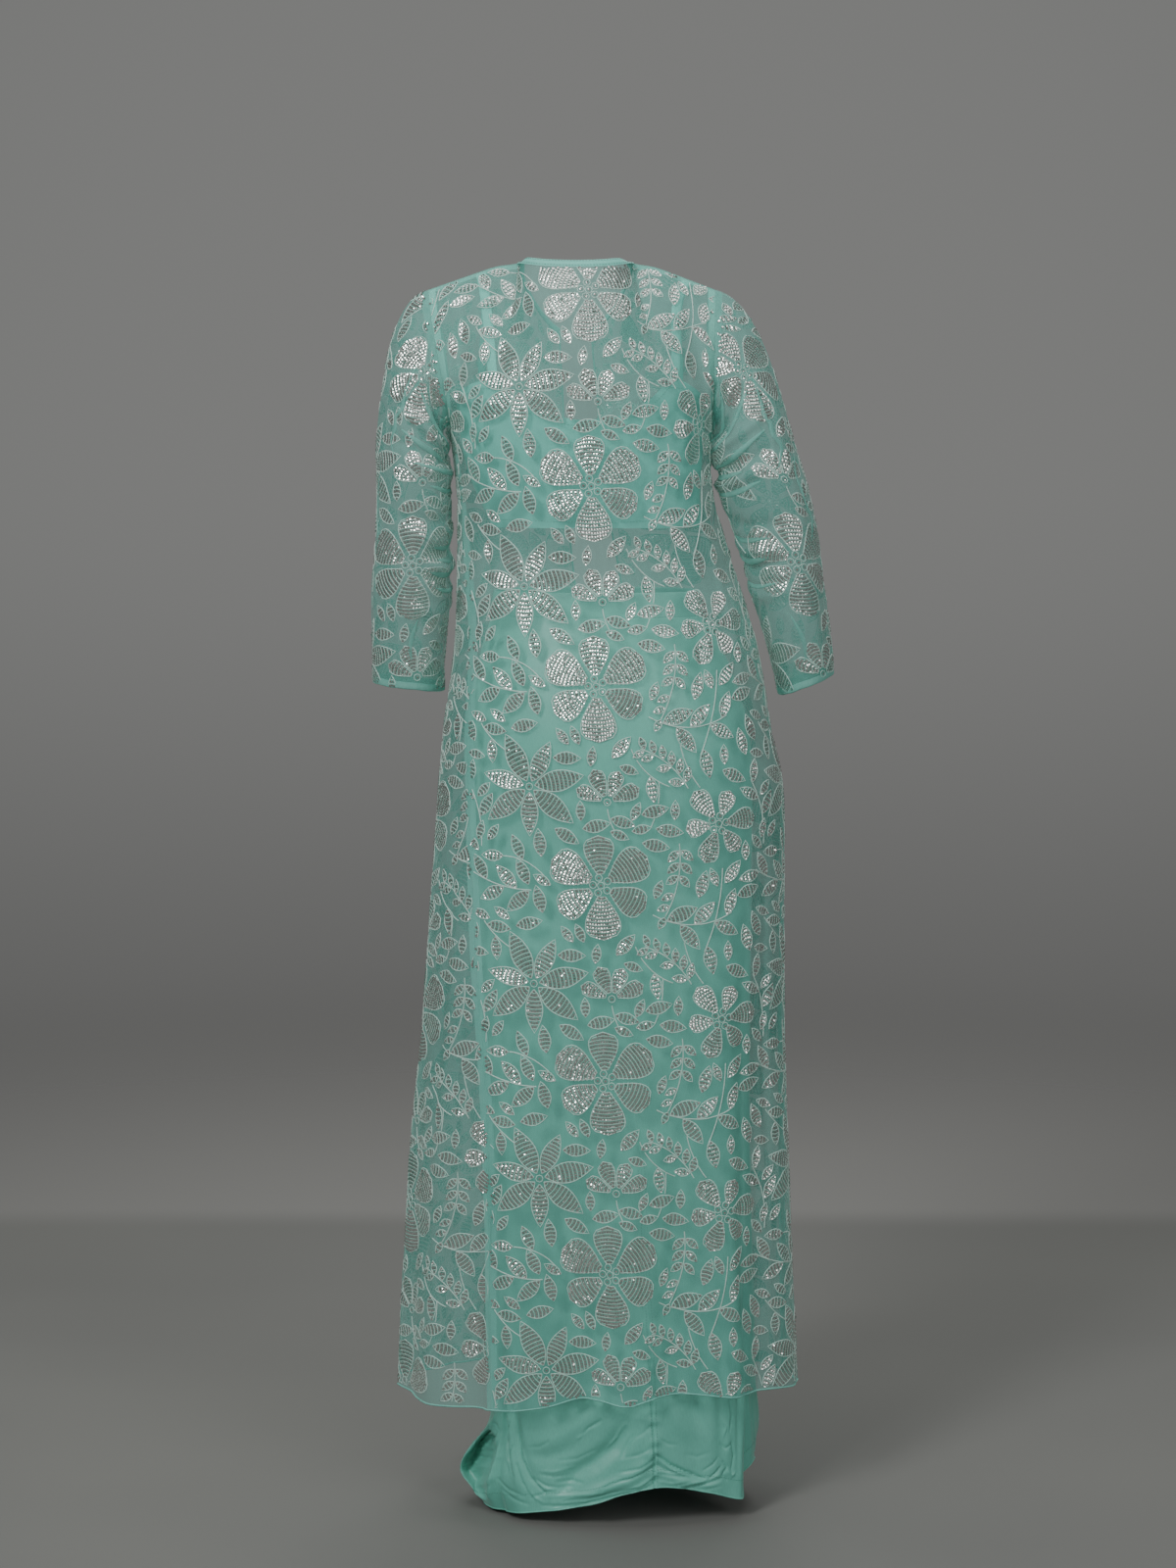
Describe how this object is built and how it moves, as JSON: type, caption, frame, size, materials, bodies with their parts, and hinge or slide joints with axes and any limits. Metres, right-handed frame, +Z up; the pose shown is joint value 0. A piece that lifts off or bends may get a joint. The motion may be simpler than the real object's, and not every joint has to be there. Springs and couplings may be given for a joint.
{
  "type": "indo-western suit",
  "caption": "Long sheer sequinned jacket with three-quarter sleeves over a strapped bodice and a straight floor-length skirt, hanging in worn shape.",
  "frame": {"origin": "at the middle of the shoulder line, where the wearer holds the set up; the floor is 1.52 m below", "axes": "+Z up, +Y the way the wearer faces, +X to the wearer's right"},
  "size_m": [0.57, 0.2789, 1.5536],
  "materials": {
    "jacket_cloth": "sheer crinkled georgette",
    "embroidery": "silver sequins and pale thread",
    "bodice_cloth": "matt opaque cloth",
    "skirt_cloth": "soft satin-faced crepe"
  },
  "bodies": {
    "root": {"jacket_back": "jacket_cloth", "jacket_front_left": "jacket_cloth", "jacket_front_right": "jacket_cloth", "jacket_sleeve_left": "jacket_cloth", "jacket_sleeve_right": "jacket_cloth", "sleeve_hem_left": "jacket_cloth", "sleeve_hem_right": "jacket_cloth", "neck_binding": "bodice_cloth", "bodice_back": "bodice_cloth", "bodice_front": "bodice_cloth", "bodice_strap_left": "bodice_cloth", "bodice_strap_right": "bodice_cloth", "skirt_back_left": "skirt_cloth", "skirt_back_right": "skirt_cloth", "skirt_front": "skirt_cloth", "skirt_waistband": "skirt_cloth"}
  },
  "joints": []
}
